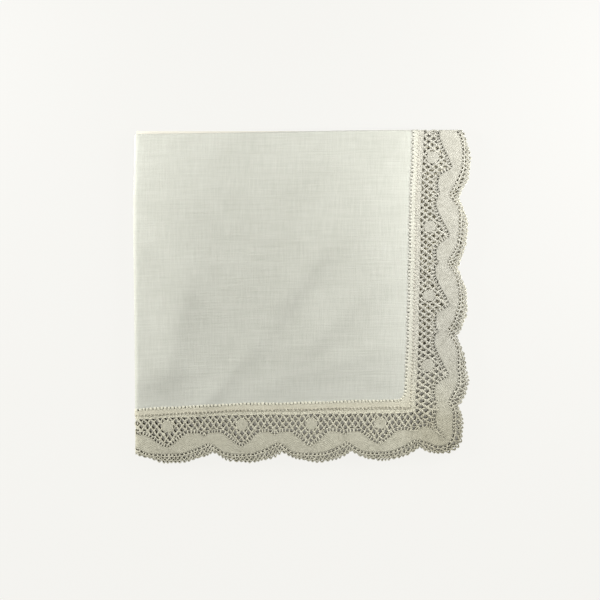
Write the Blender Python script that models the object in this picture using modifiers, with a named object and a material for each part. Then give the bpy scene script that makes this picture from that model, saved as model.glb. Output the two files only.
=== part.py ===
# Linen handkerchief with a wide scalloped lace edging, pressed and folded in four.
# The frame has +X to the right and +Y up the folded square, seen from above, and +Z up.
# The origin is under the middle of the folded square, on the surface that it lies on.
# Lengths are in metres.

import math

import bmesh
import bpy
from mathutils import Vector

# The handkerchief laid flat, measured from its two fold lines, which cross in its middle
SEAM_HALF = 0.1255  # to the seam between the hem and the lace
LACE_AT_NOTCH = 0.0189  # lace width between two scallops
LACE_AT_CROWN = 0.0233  # lace width at the middle of a scallop
SCALLOPS = 4  # from a fold line to the corner of the linen, and one more at the corner
SCALLOP_ROUNDNESS = 2.2  # 2 is a parabola, and more is flatter at the crown
CORNER_SQUARENESS = 3.2  # 2 is a round corner scallop, and more is squarer
BOTTOM_SHIFT = 0.0043  # the bottom edge's scallops lie this much nearer the corner

# The layers
SHEET = 0.0010  # thickness of one layer
LAYER_GAP = 0.00035
SEAM_GAP = 0.0003  # between the linen and the lace
INNER_RADIUS = (SHEET + LAYER_GAP) / 2  # first fold, at the top edge
OUTER_RADIUS = 2 * INNER_RADIUS  # second fold, at the left edge, round both layers
INNER_HALF = math.pi * INNER_RADIUS / 2
OUTER_HALF = math.pi * OUTER_RADIUS / 2
STACK = 2 * (OUTER_RADIUS + INNER_RADIUS) + SHEET

# How the folded square lies, a little out of true
DRAW_IN = 0.0235  # share by which the free corner is drawn in
DRAW_IN_BELOW = 0.75  # the bottom layer's share of that
TOP_TILT = 0.0075  # rise of the top edge towards the right
LEFT_LEAN = 0.0008  # how far the left edge leans out below its top corner
LEAN_REACH = 0.040
LAYER_SLIP = 0.0005  # the bottom layer shows past the top one at the top edge
SQUAT = 0.996  # height of the square over its width
SEAM_BOW = 0.0006  # the bottom seam bows up by this in its middle
PINCH = 0.0011  # the lace's lost width beside the left fold
PINCH_REACH = 0.050
FLARE = 0.0020  # the lace's extra width beside the free corner
FLARE_START = 0.70  # share of the side where it begins
FLARE_REACH = 0.25

# Soft swells of the upper layers: middle across and down from the folds, reach each way, height
SWELLS = (
    {"across": 0.019, "down": 0.060, "wide": 0.016, "long": 0.070, "rise": 0.0010},
    {"across": 0.108, "down": 0.038, "wide": 0.026, "long": 0.040, "rise": 0.0014},
    {"across": 0.088, "down": 0.102, "wide": 0.030, "long": 0.020, "rise": 0.0008},
    {"across": 0.038, "down": 0.118, "wide": 0.024, "long": 0.014, "rise": 0.0006},
)

# How finely the sheets are divided
OUTER_BEND_STEPS = 12
INNER_BEND_STEPS = 8
PANEL_STEPS = 11  # from a fold to the seam
SCALLOP_STEPS = 8
CORNER_STEPS = 12
LACE_STEPS = 3  # across the lace's width

COLLECTION = "handkerchief"


def smooth_step(share):
    """0 below 0 and 1 above 1, with a soft rise between."""
    share = min(1.0, max(0.0, share))
    return share * share * (3 - 2 * share)


def swell(across, down):
    """How far the top layer stands up there, over the pressed stack."""
    return sum(
        s["rise"]
        * math.exp(-(((across - s["across"]) / s["wide"]) ** 2) - ((down - s["down"]) / s["long"]) ** 2)
        for s in SWELLS
    )


def folded(u, v, w):
    """Where a point of the flat sheet lies once it is folded in four. u and v are measured
    from the fold lines and w from the middle of the sheet's thickness. The quarter with
    positive u and negative v ends on top, with its own face up."""
    if abs(v) < INNER_HALF:
        turn = v / INNER_RADIUS
        y = (INNER_RADIUS + w) * math.cos(turn)
        level = -(INNER_RADIUS + w) * math.sin(turn)
    else:
        y = INNER_HALF - abs(v)
        level = -math.copysign(INNER_RADIUS + w, v)
    if abs(u) < OUTER_HALF:
        turn = u / OUTER_RADIUS
        x = -(OUTER_RADIUS + level) * math.cos(turn)
        z = (OUTER_RADIUS + level) * math.sin(turn)
    else:
        x = abs(u) - OUTER_HALF
        z = math.copysign(OUTER_RADIUS + level, u)
    return x, y, z + STACK / 2


def settled(x, y, z):
    """A point of the true folded square, moved to where the cloth really lies."""
    across = x
    down = -y * SQUAT
    height = z / STACK
    draw = DRAW_IN * (DRAW_IN_BELOW + (1 - DRAW_IN_BELOW) * height)
    beside_corner = smooth_step((down / SEAM_HALF - FLARE_START) / FLARE_REACH)
    beside_fold = 1 - smooth_step(across / PINCH_REACH)
    in_right_lace = min(1.0, max(0.0, (across - SEAM_HALF) / LACE_AT_NOTCH))
    in_bottom_lace = min(1.0, max(0.0, (down - SEAM_HALF) / LACE_AT_NOTCH))
    bow = math.sin(math.pi * min(1.0, max(0.0, across / SEAM_HALF))) * down / SEAM_HALF
    new_x = across * (1 - draw * down / SEAM_HALF)
    new_x += FLARE * beside_corner * in_right_lace - LEFT_LEAN * smooth_step(down / LEAN_REACH)
    new_down = down * (1 - draw * across / SEAM_HALF) - SEAM_BOW * bow
    new_down -= TOP_TILT * across + LAYER_SLIP * (1 - height) + PINCH * beside_fold * in_bottom_lace
    return Vector((new_x, -new_down, z + height * swell(across, down)))


def fold_lines(half_bend, bend_steps):
    """Places of a grid's lines from seam to seam, close together round the bend at 0."""
    step = (SEAM_HALF - half_bend) / PANEL_STEPS
    flat = [half_bend + step * i for i in range(1, PANEL_STEPS + 1)]
    bend = [half_bend * (2 * i / bend_steps - 1) for i in range(bend_steps + 1)]
    return [-place for place in reversed(flat)] + bend + flat


def flat_panel():
    """The linen square with its hem, laid flat."""
    columns = fold_lines(OUTER_HALF, OUTER_BEND_STEPS)
    rows = fold_lines(INNER_HALF, INNER_BEND_STEPS)
    sheet = bmesh.new()
    bmesh.ops.create_grid(sheet, x_segments=len(columns) - 1, y_segments=len(rows) - 1, size=1.0)
    for vert in sheet.verts:
        column = round((vert.co.x + 1) / 2 * (len(columns) - 1))
        row = round((vert.co.y + 1) / 2 * (len(rows) - 1))
        vert.co = (columns[column], rows[row], 0)
    return sheet


def scallop(share):
    """Lace width at a share of a scallop's length, from notch to notch."""
    crown = 1 - abs(2 * share - 1) ** SCALLOP_ROUNDNESS
    return LACE_AT_NOTCH + (LACE_AT_CROWN - LACE_AT_NOTCH) * crown


def side_stations(half_bend, bend_steps, shift):
    """(place, lace width) pairs along the seam from a fold line to the corner of the linen.
    The first scallop starts at the fold and is longer by the shift, and the last is cut
    off by the corner if there is a shift."""
    pitch = SEAM_HALF / SCALLOPS
    stations = [(0.0, LACE_AT_NOTCH)]
    bend = [half_bend * 2 * i / bend_steps for i in range(1, bend_steps // 2 + 1)]
    stations += [(place, scallop(place / (pitch + shift))) for place in bend]
    for k in range(SCALLOPS):
        start = k * pitch + (shift if k else 0)
        length = pitch + (0 if k else shift)
        for i in range(1, SCALLOP_STEPS + 1):
            place = start + length * i / SCALLOP_STEPS
            if place > stations[-1][0] and place < SEAM_HALF:
                stations.append((place, scallop(i / SCALLOP_STEPS)))
    stations.append((SEAM_HALF, scallop(1 - shift / pitch)))
    return stations


def corner_stations(shift):
    """(angle, lace width) pairs of the corner fan between its two straight sides. The last
    notch of the second side lies inside the fan if that side has a shift."""
    pitch = SEAM_HALF / SCALLOPS
    notch = math.pi / 2 - math.atan(shift / LACE_AT_NOTCH)
    stations = [(notch * i / CORNER_STEPS, scallop(i / CORNER_STEPS)) for i in range(1, CORNER_STEPS + 1)]
    half_way = (notch + math.pi / 2) / 2
    stations.append((half_way, scallop(1 - shift / pitch / 2)))
    return stations


def quarter_outline():
    """(seam point, lace edge point) pairs of one quarter of the edging, from the fold at
    v = 0 round the corner to the fold at u = 0, with u and v positive."""
    seam = SEAM_HALF + SEAM_GAP
    corner = Vector((SEAM_HALF, SEAM_HALF))
    pairs = []
    for place, width in side_stations(INNER_HALF, INNER_BEND_STEPS, 0.0):
        pairs.append((Vector((seam, place)), Vector((SEAM_HALF + width, place))))
    for angle, width in corner_stations(BOTTOM_SHIFT):
        way = Vector((math.cos(angle), math.sin(angle)))
        square = (way.x**CORNER_SQUARENESS + way.y**CORNER_SQUARENESS) ** (-1 / CORNER_SQUARENESS)
        pairs.append((corner + way * SEAM_GAP, corner + way * width * square))
    for place, width in reversed(side_stations(OUTER_HALF, OUTER_BEND_STEPS, BOTTOM_SHIFT)):
        pairs.append((Vector((place, seam)), Vector((place, SEAM_HALF + width))))
    return pairs


def whole_outline():
    """The pairs of all four quarters in turn, without the ones that two quarters share."""
    first = quarter_outline()
    quarters = (
        (1, 1, first),
        (-1, 1, first[::-1]),
        (-1, -1, first),
        (1, -1, first[::-1]),
    )
    ring = []
    for sign_u, sign_v, pairs in quarters:
        flip = Vector((sign_u, sign_v))
        ring += [(seam * flip, edge * flip) for seam, edge in pairs[:-1]]
    return ring


def flat_edging():
    """The lace edging, one closed ring with its four corners worked in, laid flat."""
    ring = whole_outline()
    sheet = bmesh.new()
    bmesh.ops.create_grid(sheet, x_segments=len(ring), y_segments=LACE_STEPS, size=1.0)
    for vert in sheet.verts:
        station = round((vert.co.x + 1) / 2 * len(ring)) % len(ring)
        share = (vert.co.y + 1) / 2
        seam, edge = ring[station]
        vert.co = seam.lerp(edge, share).to_3d()
    bmesh.ops.remove_doubles(sheet, verts=sheet.verts, dist=1e-7)
    bmesh.ops.recalc_face_normals(sheet, faces=sheet.faces)
    if sum(face.normal.z for face in sheet.faces) < 0:
        bmesh.ops.reverse_faces(sheet, faces=sheet.faces)
    return sheet


def linen_material():
    material = bpy.data.materials.new("linen")
    material.use_nodes = True
    shader = material.node_tree.nodes["Principled BSDF"]
    shader.inputs["Base Color"].default_value = (0.66, 0.66, 0.59, 1)
    shader.inputs["Roughness"].default_value = 0.85
    shader.inputs["Metallic"].default_value = 0.0
    return material


def lace_material():
    material = bpy.data.materials.new("lace")
    material.use_nodes = True
    shader = material.node_tree.nodes["Principled BSDF"]
    shader.inputs["Base Color"].default_value = (0.50, 0.49, 0.42, 1)
    shader.inputs["Roughness"].default_value = 0.9
    shader.inputs["Metallic"].default_value = 0.0
    return material


def folded_piece(name, sheet, material, collection):
    """The flat sheet given its thickness, folded in four and settled, as one object."""
    mesh = bpy.data.meshes.new(name)
    sheet.to_mesh(mesh)
    sheet.free()
    flat = bpy.data.objects.new(name + "_flat", mesh)
    collection.objects.link(flat)
    thick = flat.modifiers.new("thickness", "SOLIDIFY")
    thick.thickness = SHEET
    thick.offset = 0
    graph = bpy.context.evaluated_depsgraph_get()
    solid = bpy.data.meshes.new_from_object(flat.evaluated_get(graph))
    bpy.data.objects.remove(flat)
    for vert in solid.vertices:
        vert.co = settled(*folded(*vert.co))
    solid.name = name
    solid.materials.clear()
    solid.materials.append(material)
    solid.shade_smooth()
    solid.set_sharp_from_angle(angle=math.radians(35))
    piece = bpy.data.objects.new(name, solid)
    collection.objects.link(piece)
    return piece


def centre_on_floor(pieces):
    """Moves the pieces so that the origin is under the middle of their common box."""
    points = [vert.co for piece in pieces for vert in piece.data.vertices]
    low = Vector(min(p[axis] for p in points) for axis in range(3))
    high = Vector(max(p[axis] for p in points) for axis in range(3))
    middle = (low + high) / 2
    for piece in pieces:
        for vert in piece.data.vertices:
            vert.co -= Vector((middle.x, middle.y, low.z))
        piece.data.update()


def main():
    for obj in list(bpy.data.objects):
        bpy.data.objects.remove(obj)
    collection = bpy.data.collections.new(COLLECTION)
    bpy.context.scene.collection.children.link(collection)
    panel = folded_piece("linen_panel", flat_panel(), linen_material(), collection)
    edging = folded_piece("lace_edging", flat_edging(), lace_material(), collection)
    centre_on_floor([panel, edging])


main()
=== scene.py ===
# A linen handkerchief with a bobbin lace edging, folded in four and made thread by thread.
# The cloth is laid out flat first, with u and v measured from its two fold lines, and each
# point is then folded and settled as the pressed cloth lies. Lengths are in metres.

import math

import bpy
import numpy as np
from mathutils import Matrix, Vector


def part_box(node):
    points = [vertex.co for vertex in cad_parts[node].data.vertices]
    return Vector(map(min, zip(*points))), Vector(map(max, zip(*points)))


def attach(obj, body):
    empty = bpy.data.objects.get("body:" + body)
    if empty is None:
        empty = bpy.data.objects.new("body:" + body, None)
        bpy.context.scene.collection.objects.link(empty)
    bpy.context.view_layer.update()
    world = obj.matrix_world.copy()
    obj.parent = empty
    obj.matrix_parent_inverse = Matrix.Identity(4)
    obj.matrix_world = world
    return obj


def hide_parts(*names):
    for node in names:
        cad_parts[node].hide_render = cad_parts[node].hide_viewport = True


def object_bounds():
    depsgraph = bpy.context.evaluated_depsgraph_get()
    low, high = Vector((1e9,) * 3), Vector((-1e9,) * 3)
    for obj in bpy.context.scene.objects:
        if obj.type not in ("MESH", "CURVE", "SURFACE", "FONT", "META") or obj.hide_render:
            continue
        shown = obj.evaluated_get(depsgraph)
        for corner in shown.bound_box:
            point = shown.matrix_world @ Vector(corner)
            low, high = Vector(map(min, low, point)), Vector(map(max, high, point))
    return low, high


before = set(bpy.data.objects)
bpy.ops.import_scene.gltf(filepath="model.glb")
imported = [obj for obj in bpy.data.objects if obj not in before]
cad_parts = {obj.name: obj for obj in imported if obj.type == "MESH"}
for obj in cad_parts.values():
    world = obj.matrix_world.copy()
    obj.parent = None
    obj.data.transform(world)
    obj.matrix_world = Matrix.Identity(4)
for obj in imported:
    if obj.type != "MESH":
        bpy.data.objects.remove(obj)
cad_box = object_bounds()

# The flat handkerchief and its folds
SEAM_HALF = 0.1255
LACE_AT_NOTCH = 0.0189
LACE_AT_CROWN = 0.0233
SCALLOPS = 4
SCALLOP_ROUNDNESS = 2.2
CORNER_SQUARENESS = 4.5
BOTTOM_SHIFT = 0.0043
SHEET = 0.0010
INNER_RADIUS = 0.000675
OUTER_RADIUS = 0.00135
INNER_HALF = math.pi * INNER_RADIUS / 2
OUTER_HALF = math.pi * OUTER_RADIUS / 2
STACK = 2 * (OUTER_RADIUS + INNER_RADIUS) + SHEET
DRAW_IN = 0.0235
DRAW_IN_BELOW = 0.97
TOP_TILT = 0.0075
LEFT_LEAN = 0.0008
LEAN_REACH = 0.040
LAYER_SLIP = 0.0001
SQUAT = 0.996
SEAM_BOW = 0.0006
PINCH = 0.0011
PINCH_REACH = 0.050
FLARE = 0.0010
FLARE_START = 0.70
FLARE_REACH = 0.25
SWELLS = (
    {"across": 0.019, "down": 0.060, "wide": 0.016, "long": 0.070, "rise": 0.0010},
    {"across": 0.108, "down": 0.038, "wide": 0.026, "long": 0.040, "rise": 0.0014},
    {"across": 0.088, "down": 0.102, "wide": 0.030, "long": 0.020, "rise": 0.0008},
    {"across": 0.038, "down": 0.118, "wide": 0.024, "long": 0.014, "rise": 0.0006},
)

# Soft creases of the top layer, each from one end to the other, gentle on its upper side
CREASES = (
    {"start": (0.0795, 0.0580), "end": (0.0685, 0.0747), "rise": 0.00145, "gentle": 0.012, "steep": 0.0030},
    {"start": (0.0483, 0.1000), "end": (0.0335, 0.1160), "rise": 0.00072, "gentle": 0.004, "steep": 0.0036},
    {"start": (0.1003, 0.0744), "end": (0.0748, 0.0988), "rise": 0.00085, "gentle": 0.010, "steep": 0.0040},
    {"start": (0.1052, 0.0986), "end": (0.0705, 0.1088), "rise": 0.00055, "gentle": 0.0035, "steep": 0.0060},
    {"start": (0.0225, 0.1053), "end": (0.0069, 0.1082), "rise": 0.00056, "gentle": 0.009, "steep": 0.0042},
    {"start": (0.0200, 0.0740), "end": (0.0130, 0.1020), "rise": 0.00120, "gentle": 0.010, "steep": 0.0060},
)
CREASE_END = 0.012  # how far each one fades out past its ends

# How far the cloth lies off the true square where the two folds meet, and where that has faded
DRIFT_LEFT = 0.0010
DRIFT_LEFT_REACH = (0.090, 0.130)
DRIFT_DOWN = 0.0009
DRIFT_DOWN_REACH = (0.110, 0.060)

# Hand-made unevenness all over, and the play of the layers under the top one
UNEVEN = 0.00010
UNEVEN_FINER = 0.00007
TOP_START = 0.015  # from the folds to where the top layer has none of that play
PLAY = 0.00003
LOOSE_PLAY = 0.00025  # more of it, in a loose patch of the right lace
NEXT_STRAY = 0.00135  # how far the next layer lies off there
LOWER_STRAY = 0.00070
LOOSE_ACROSS = (0.116, 0.012)  # where the patch begins, and over how far it sets in
LOOSE_DOWN = (0.0, 0.020)
LOOSE_END = (0.080, 0.030)
LOOSE_RIM = (0.138, 0.006)
RIM_HOLD = 0.7  # how much of the looseness is lost at the rim

# The linen and its drawn-thread hem
CLOTH_HALF_THICK = 0.00030
HEM_HALF_THICK = 0.00042
CLOTH_EDGE = 0.00310  # from the seam in to the edge of the plain cloth
HEM_EDGE = 0.00230  # from the seam in to the edge of the hem band
CLOTH_CORNER = 0.0035  # radius of the plain cloth's corners
STITCH_PITCH = 0.00164
STITCH_TAPER = np.array((0.25, 0.75, 0.97, 1.0, 0.97, 0.75, 0.25))
STITCH_RISE = 0.00026
BUNDLE_RADIUS = 0.00074  # of the hemstitch
BUNDLE_RADIUS_BELOW = 0.00067
BUNDLE_LEAN = 0.00020
BUNDLE_PAST = 0.40  # how far a bundle runs on past the gap at each end, as a share of it
SEAM_STITCH_RADIUS = 0.00038
SEAM_STITCH_IN = 0.0009  # into the hem
SEAM_STITCH_OUT = 0.0008  # into the lace
SEAM_STITCH_LEAN = 0.00030

# The lace pattern, in one repeat from notch to notch
PITCH = SEAM_HALF / SCALLOPS
CORNER_RUN = 0.0156  # along the lace from a corner's straight side to its diagonal
FOOT_IN = -0.0004
FOOT_IN_BELOW = -5e-05
FOOT_OUT = 0.0018
FOOT_OUT_BELOW = 0.0019
NET_ORIGIN = 0.0004
NET_PITCH = PITCH / 11
NET_SLOPE = 1.33
NET_RADIUS = 0.00045
NET_RADIUS_BESIDE = 0.00053
NET_TWIST = 0.0014
NET_START_IN = 0.0004  # how far inside the footside's edge its threads start
NET_REACH = 0.018  # from the seam, past the widest place of the net
NET_END = 0.030  # past the corner of the linen, where the last threads start
NET_SWAY = 0.00012
NET_PLY = 0.00008  # how far threads of one slope lie over the others
KNOT = 0.00008  # how much thicker they are where they cross
KNOT_REACH = 0.00038
PAIR_RADIUS = 0.58  # of a twisted pair, as shares of the whole thread's radius
PAIR_APART = 0.48
PAIR_OVER = 0.00012
HANG = -0.0011  # how low the net hangs midway in the layer under the right lace
HANG_START = 0.003
HANG_END = 0.0125
HANG_FADE = 0.004
SPOT_ALONG = 0.0129
SPOT_OUT = 0.0062
SPOT_RADIUS = 0.00265
LADDER = 0.0015  # between the net and the cloth-stitch trail
LADDER_PITCH = 0.00142
PINHOLES = 0.0011  # between the trail and the outer line
PINHOLE_PITCH = 0.00170
EDGE_BAND = 0.0014  # from the last line to the tips of the picots
EDGE_PITCH = PITCH / 16  # the small mesh beyond the outer line
EDGE_SLOPE = 1.6
PICOT_PITCH = 0.00205
STEEPEST = 2.5  # square of the slope past which a gap beside a slanting edge stays the same
OVERLAP = 0.0001  # how far a thread runs into the one that it ends on
SPOT_OVERLAP = 0.0002
SPOT_RIM = 0.00025  # how far inside its ring a spot's cloth ends

# Radii of the lace's threads, and half the thickness of its woven parts
TRAIL_EDGE_RADIUS = 0.00014
TRAIL_RIM_RADIUS = 0.00016
RAIL_RADIUS = 0.00020
MIDWAY_RADIUS = 0.00013
OUTER_LINE_RADIUS = 0.00026
LADDER_RADIUS = 0.00031
PINHOLE_RADIUS = 0.00038
MESH_RADIUS = 0.00030
LAST_LINE_RADIUS = 0.00020
PICOT_RADIUS = 0.00022
RING_RADIUS = 0.00024
TRAIL_HALF_THICK = 0.00018
SPOT_HALF_THICK = 0.00024
FOOT_HALF_THICK = 0.00020
FOOT_THREADS = ((0.0, 0.00018), (0.33, 0.00014), (0.66, 0.00016), (1.0, 0.00022))

# Steps along the threads and across the cloth
NEAR_FOLD = 0.0028  # from a fold line, where the steps are finer
FOLD_STEP = 0.0003
SEAM_STEP = 0.00012
SLOPE_STEP = 0.0003
FINE_STEP = 0.00010
CLOTH_STEP = 0.0022
HEM_STEP = 0.0012
HEM_FOLD_STEP = 0.00025
FOOT_STEP = 0.0009
NET_STEP = 0.0004
NET_STEP_UNDER = 0.0013
TRAIL_STEP = 0.0006
MESH_STEP = 0.0011
PICOT_STEP = 0.00034

# Widths of the trail's two edges from the seam, by place along the repeat from a notch
TRAIL_IN = (
    (-0.00224, 0.01100),
    (-0.00130, 0.00990),
    (0.00000, 0.00900),
    (0.00220, 0.00870),
    (0.00450, 0.00920),
    (0.00850, 0.01100),
    (0.01250, 0.01300),
    (0.01640, 0.01500),
    (0.01730, 0.01520),
    (0.01830, 0.01430),
    (0.01990, 0.01150),
    (0.02150, 0.00970),
    (0.02400, 0.00910),
    (0.02740, 0.00930),
    (0.02850, 0.01000),
)
TRAIL_IN_BELOW = (
    (-0.00356, 0.01110),
    (-0.00220, 0.00990),
    (0.00000, 0.00955),
    (0.00360, 0.00965),
    (0.00580, 0.01110),
    (0.00845, 0.01335),
    (0.01110, 0.01525),
    (0.01335, 0.01590),
    (0.01600, 0.01380),
    (0.01825, 0.01170),
    (0.02000, 0.00990),
    (0.02225, 0.00955),
    (0.02540, 0.00970),
    (0.02630, 0.01020),
)
TRAIL_OUT = (
    (-0.00198, 0.01395),
    (0.00000, 0.01510),
    (0.00220, 0.01680),
    (0.00445, 0.01825),
    (0.00800, 0.01887),
    (0.01335, 0.01895),
    (0.01780, 0.01885),
    (0.02140, 0.01790),
    (0.02490, 0.01640),
    (0.02760, 0.01500),
)
# The same beyond the last notch of each side, by place from that notch
CORNER_IN = (
    (0.00000, 0.01120),
    (0.00120, 0.01060),
    (0.00300, 0.01010),
    (0.00700, 0.00990),
    (0.01030, 0.01010),
    (0.01250, 0.01080),
    (0.01394, 0.01198),
    (0.01443, 0.01397),
    (0.01488, 0.01613),
    (0.01533, 0.01720),
    (0.01560, 0.01730),
)
CORNER_IN_BELOW = (
    (0.00000, 0.01050),
    (0.00120, 0.01020),
    (0.00240, 0.00970),
    (0.00430, 0.00920),
    (0.00610, 0.00900),
    (0.00900, 0.00920),
    (0.01030, 0.01060),
    (0.01075, 0.01250),
    (0.01090, 0.01490),
    (0.01110, 0.01700),
    (0.01130, 0.01730),
)
CORNER_OUT = (
    (0.00000, 0.01500),
    (0.00340, 0.01640),
    (0.00790, 0.01740),
    (0.01250, 0.01860),
    (0.01560, 0.01920),
)
CORNER_OUT_BELOW = (
    (0.00000, 0.01420),
    (0.00225, 0.01520),
    (0.00540, 0.01700),
    (0.00750, 0.01850),
    (0.00980, 0.01900),
    (0.01130, 0.01920),
)
# The tables of each edge, by whether it is below and whether it is the inner one
TRAIL_EDGES = {
    (False, True): (TRAIL_IN, CORNER_IN),
    (False, False): (TRAIL_OUT, CORNER_OUT),
    (True, True): (TRAIL_IN_BELOW, CORNER_IN_BELOW),
    (True, False): (TRAIL_OUT, CORNER_OUT_BELOW),
}
ROUNDING = (-0.0006, -0.0003, 0.0, 0.0003, 0.0006)  # places whose widths are averaged

# How far the edges lie out of the even square, below and on the right, by place along the
# side: at the hem, at the seam and at the tips
SAG = (
    (0.000, 0.0009, 0.0000, 0.0000),
    (0.010, 0.0006, 0.0000, 0.0004),
    (0.029, 0.0005, 0.0002, 0.0006),
    (0.047, 0.0002, 0.0003, 0.0012),
    (0.065, 0.0007, 0.0009, 0.0015),
    (0.083, 0.0006, 0.0011, 0.0021),
    (0.101, 0.0004, 0.0016, 0.0022),
    (0.116, 0.0005, 0.0016, 0.0016),
    (0.128, 0.0008, 0.0011, 0.0009),
)
STRAY = (
    (0.000, -0.0004, -0.0006, 0.0000),
    (0.035, -0.0003, -0.0005, 0.0000),
    (0.050, 0.0000, 0.0000, 0.0000),
    (0.069, 0.0000, 0.0000, 0.0000),
    (0.074, 0.0000, 0.0000, 0.0010),
    (0.090, 0.0000, 0.0002, 0.0013),
    (0.096, 0.0000, 0.0003, 0.0008),
    (0.108, -0.0002, 0.0000, 0.0007),
    (0.114, -0.0004, -0.0002, 0.0022),
    (0.120, -0.0006, -0.0004, 0.0027),
    (0.125, -0.0004, -0.0004, 0.0028),
    (0.129, -0.0003, -0.0003, 0.0012),
    (0.134, -0.0002, -0.0002, 0.0000),
)
SAG_REACH = 0.045
SAG_HEM = (-0.0030, 0.0018)  # from the seam, where the hem's part ends and the lace's begins

# Where the tints change over, in millimetres from the fold lines
LOW_EDGE_TURN = (-55.0, 5.0)  # how much further down than across
LOW_EDGE_START = (90.0, 124.0)
CORNER_START = (122.0, 131.0)
INSIDE_START = (2.0, 6.0)
MIDDLE_SHADE_WIDTH = 124.0  # how wide the painted shade in the greyer middle of each quarter is

# Each quarter of the flat work by its signs of u and v, and which set of a piece's rings it
# takes: 0 for the top one, 1 for the two lowest and 2 for the one next to the top
QUARTERS = {(1, -1): 0, (-1, 1): 1, (-1, -1): 1, (1, 1): 2}


def smooth_step(share):
    """0 below 0 and 1 above 1, with a soft rise between."""
    share = np.clip(share, 0.0, 1.0)
    return share * share * (3 - 2 * share)


def eased(value, start, length):
    """0 up to the start and 1 past the length after it, with a soft rise between."""
    return smooth_step((value - start) / length)


def swell(across, down):
    """How far the top layer stands up there, over the pressed stack."""
    total = np.zeros_like(across)
    for s in SWELLS:
        total += s["rise"] * np.exp(
            -(((across - s["across"]) / s["wide"]) ** 2) - ((down - s["down"]) / s["long"]) ** 2
        )
    return total


def creased(across, down):
    """How far the creases lift the top layer there."""
    total = np.zeros_like(across)
    for c in CREASES:
        start, end = np.array(c["start"]), np.array(c["end"])
        length = np.linalg.norm(end - start)
        along = (end - start) / length
        offset = np.stack((across - start[0], down - start[1]), axis=-1)
        run = offset @ along
        side = offset @ np.array((along[1], -along[0]))
        past = np.maximum(0, np.maximum(-run, run - length)) / CREASE_END
        reach = np.where(side > 0, c["steep"], c["gentle"])
        total += c["rise"] * np.exp(-((side / reach) ** 2) - past**2)
    return total


def folded(points):
    """Flat points (u, v, w) folded in four."""
    u, v, w = points[:, 0], points[:, 1], points[:, 2]
    turn = v / INNER_RADIUS
    in_bend = np.abs(v) < INNER_HALF
    y = np.where(in_bend, (INNER_RADIUS + w) * np.cos(turn), INNER_HALF - np.abs(v))
    level = np.where(in_bend, -(INNER_RADIUS + w) * np.sin(turn), -np.copysign(INNER_RADIUS + w, v))
    turn = u / OUTER_RADIUS
    in_bend = np.abs(u) < OUTER_HALF
    x = np.where(in_bend, -(OUTER_RADIUS + level) * np.cos(turn), np.abs(u) - OUTER_HALF)
    z = np.where(in_bend, (OUTER_RADIUS + level) * np.sin(turn), np.copysign(OUTER_RADIUS + level, u))
    return x, y, z + STACK / 2


def sag(table, along, out):
    """How far out the lace and the hem beside it lie there, past the even square."""
    places, at_hem, at_seam, at_tips = zip(*table)
    hem = np.interp(along, places, at_hem)
    seam = np.interp(along, places, at_seam)
    tips = np.interp(along, places, at_tips)
    lace = seam + (tips - seam) * np.clip((out - SEAM_HALF) / LACE_AT_CROWN, 0, 1)
    past_hem = np.clip((out - SEAM_HALF - SAG_HEM[0]) / (SAG_HEM[1] - SAG_HEM[0]), 0, 1)
    return (hem + (lace - hem) * past_hem) * smooth_step(1 + (out - SEAM_HALF) / SAG_REACH)


def near_folds(across, down, reach):
    """1 where the two folds meet, fading to 0 at the reach across and down from there."""
    return (1 - smooth_step(across / reach[0])) * (1 - smooth_step(down / reach[1]))


def settled(x, y, z):
    """Points of the true folded square, moved to where the cloth really lies."""
    across = x
    down = -y * SQUAT
    height = z / STACK
    draw = DRAW_IN * (DRAW_IN_BELOW + (1 - DRAW_IN_BELOW) * height)
    beside_corner = smooth_step((down / SEAM_HALF - FLARE_START) / FLARE_REACH)
    beside_fold = 1 - smooth_step(across / PINCH_REACH)
    in_right_lace = np.clip((across - SEAM_HALF) / LACE_AT_NOTCH, 0, 1)
    in_bottom_lace = np.clip((down - SEAM_HALF) / LACE_AT_NOTCH, 0, 1)
    bow = np.sin(math.pi * np.clip(across / SEAM_HALF, 0, 1)) * down / SEAM_HALF
    new_x = across * (1 - draw * down / SEAM_HALF)
    new_x += FLARE * beside_corner * in_right_lace - LEFT_LEAN * smooth_step(down / LEAN_REACH)
    new_down = down * (1 - draw * across / SEAM_HALF) - SEAM_BOW * bow
    new_down -= TOP_TILT * across + LAYER_SLIP * (1 - height) + PINCH * beside_fold * in_bottom_lace
    new_x -= DRIFT_LEFT * near_folds(across, down, DRIFT_LEFT_REACH)
    new_down += DRIFT_DOWN * near_folds(across, down, DRIFT_DOWN_REACH)
    new_down += sag(SAG, across, down)
    new_x += sag(STRAY, down, across)
    lift = height * swell(across, down) + height**3 * creased(across, down)
    return np.column_stack((new_x, -new_down, z + lift))


def slip(u, v):
    """How far the flat work lies off its true place. It is a little uneven all over, and the
    layers under the top one stray from it, most of all in a loose patch of the right lace."""
    under = 1 - smooth_step(u / TOP_START) * smooth_step(-v / TOP_START)
    across, down = np.abs(u), np.abs(v)
    loose = eased(across, *LOOSE_ACROSS) * eased(down, *LOOSE_DOWN) * (1 - eased(down, *LOOSE_END))
    loose *= 1 - RIM_HOLD * eased(across, *LOOSE_RIM)
    play = (PLAY + LOOSE_PLAY * loose) * under
    stray = np.where(v > 0, np.where(u > 0, NEXT_STRAY, LOWER_STRAY), -LOWER_STRAY) * loose * under
    du = UNEVEN * np.sin(870 * across - 310 * down) + UNEVEN_FINER * np.sin(1490 * down + 640 * across)
    dv = UNEVEN * np.sin(790 * down + 280 * across) + UNEVEN_FINER * np.sin(1370 * across - 720 * down)
    du = du * np.sign(u) + play * (np.sin(163 * v + 47 * u + 0.9) + 0.6 * np.sin(229 * u + 101 * v))
    dv = dv * np.sign(v) + play * (np.sin(151 * u - 59 * v + 2.2) + 0.6 * np.sin(211 * v + 89 * u))
    return du + 0.5 * stray * np.sign(u), dv + stray * np.sign(v)


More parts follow.
